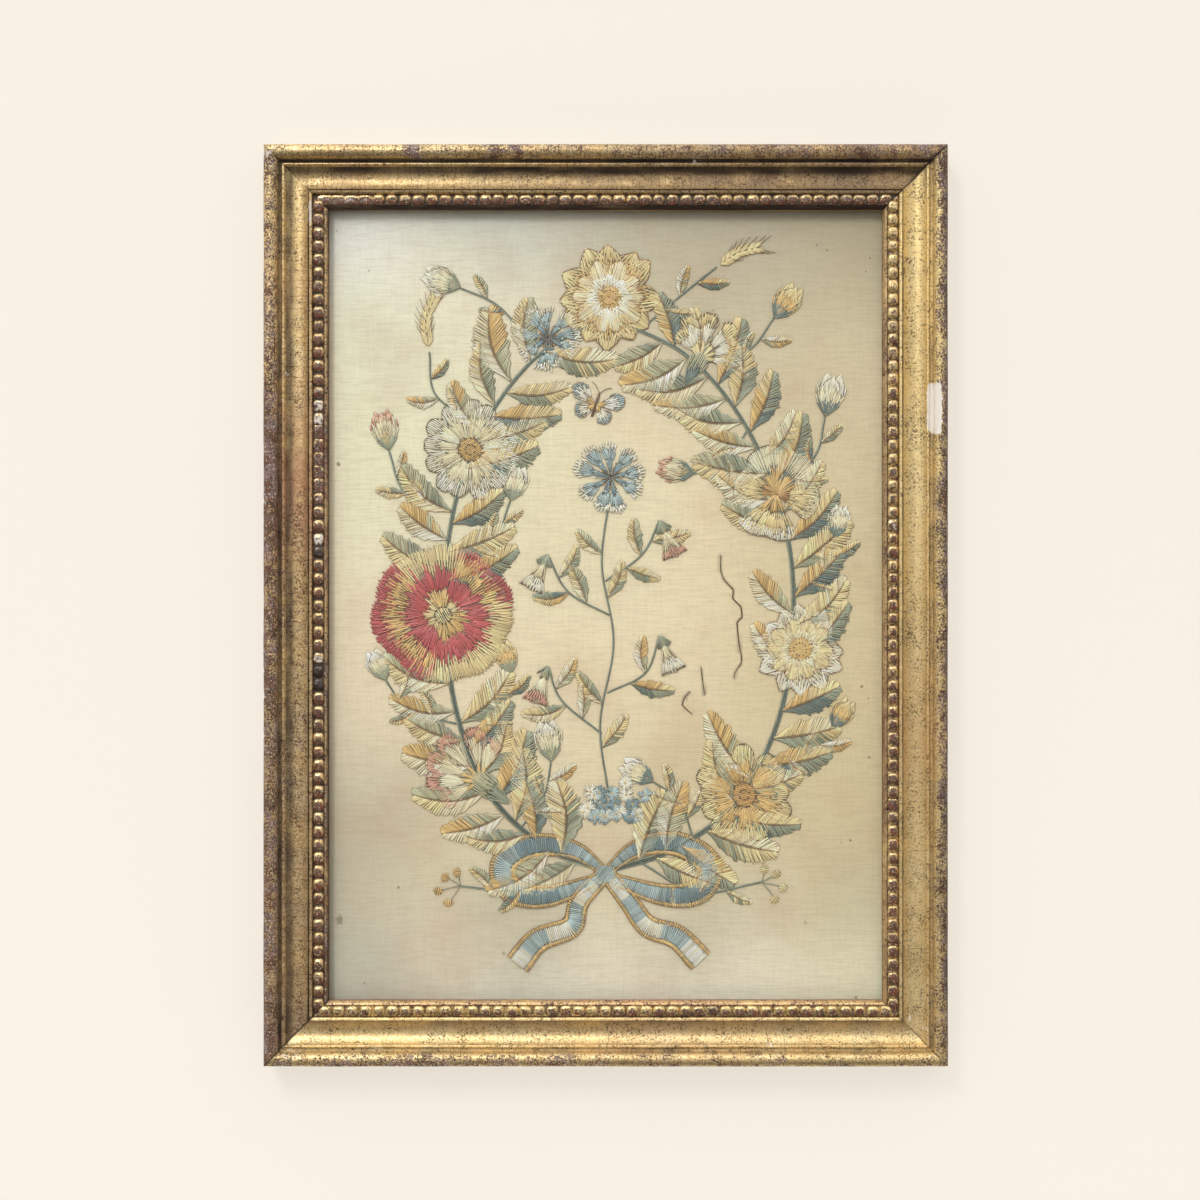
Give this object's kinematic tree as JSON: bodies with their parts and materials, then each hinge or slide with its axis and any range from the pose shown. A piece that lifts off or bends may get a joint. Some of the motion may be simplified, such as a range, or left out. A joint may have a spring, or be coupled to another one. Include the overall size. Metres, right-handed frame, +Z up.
{
  "type": "silk needlework picture in gilt wood frame",
  "caption": "Upright embroidered silk picture behind glass in a worn gilt frame with a hollow moulding and a beaded sight edge, hung flat on a wall by the back of its top rail.",
  "frame": {"origin": "middle of the top rail's flat back, where the picture hangs on the wall", "axes": "+Z up along the picture's height, -Y out of the wall towards the viewer, +X to the viewer's right"},
  "size_m": [0.4, 0.026, 0.539],
  "materials": {
    "gilt_wood": "gold leaf over red clay, worn and speckled",
    "gilt_beading": "gilded moulded beading, rubbed to the red clay",
    "glass": "clear old picture glass",
    "silk": "aged plain-weave silk with floss silk stitches",
    "pine_board": "bare aged pine",
    "steel": "darkened"
  },
  "bodies": {
    "root": {"rail_top": "gilt_wood", "rail_bottom": "gilt_wood", "rail_left": "gilt_wood", "rail_right": "gilt_wood", "beading_top": "gilt_beading", "beading_bottom": "gilt_beading", "beading_left": "gilt_beading", "beading_right": "gilt_beading", "glass_pane": "glass", "silk_panel": "silk", "backboard": "pine_board", "brad_top_1": "steel", "brad_top_2": "steel", "brad_bottom_1": "steel", "brad_bottom_2": "steel", "brad_left_1": "steel", "brad_left_2": "steel", "brad_left_3": "steel", "brad_right_1": "steel", "brad_right_2": "steel", "brad_right_3": "steel"}
  },
  "joints": []
}
